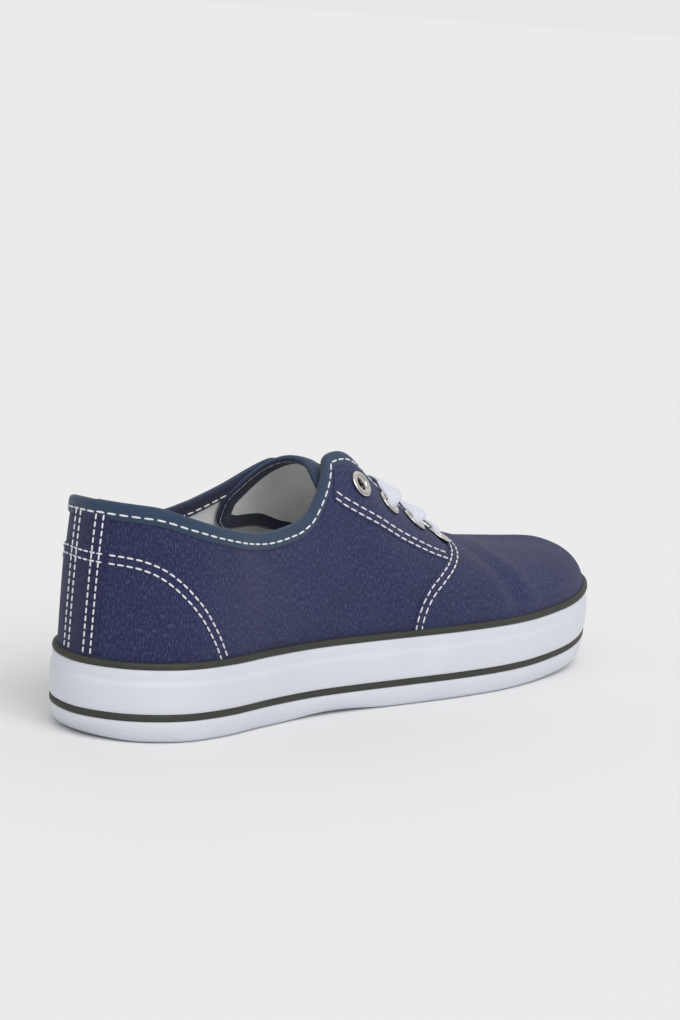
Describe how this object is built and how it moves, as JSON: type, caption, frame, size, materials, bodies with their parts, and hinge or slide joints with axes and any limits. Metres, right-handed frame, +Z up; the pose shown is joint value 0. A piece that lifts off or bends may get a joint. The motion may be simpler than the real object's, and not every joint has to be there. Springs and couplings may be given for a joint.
{
  "type": "canvas sneaker",
  "caption": "Low lace-up canvas sneaker for the left foot, with a striped rubber cup sole, open collar and throat, tongue and flat lace.",
  "frame": {"origin": "on the floor, under the middle of the shoe's length and width", "axes": "+Y towards the toe, +X towards the inner (medial) side, +Z up"},
  "size_m": [0.1004, 0.292, 0.0964],
  "materials": {
    "canvas": "matt weave",
    "lining": "matt",
    "rubber_white": "satin",
    "rubber_stripe": "satin",
    "lace": "matt",
    "eyelet": "polished"
  },
  "bodies": {
    "root": {"outsole": "rubber_white", "foxing": "rubber_white", "stripe_lower": "rubber_stripe", "stripe_upper": "rubber_stripe", "insole": "lining", "upper": "canvas", "tongue": "canvas", "eyelet_medial_1": "eyelet", "eyelet_medial_2": "eyelet", "eyelet_medial_3": "eyelet", "eyelet_medial_4": "eyelet", "eyelet_lateral_1": "eyelet", "eyelet_lateral_2": "eyelet", "eyelet_lateral_3": "eyelet", "eyelet_lateral_4": "eyelet", "lace_cross_upper": "lace", "lace_cross_lower": "lace", "lace_bar": "lace"}
  },
  "joints": []
}
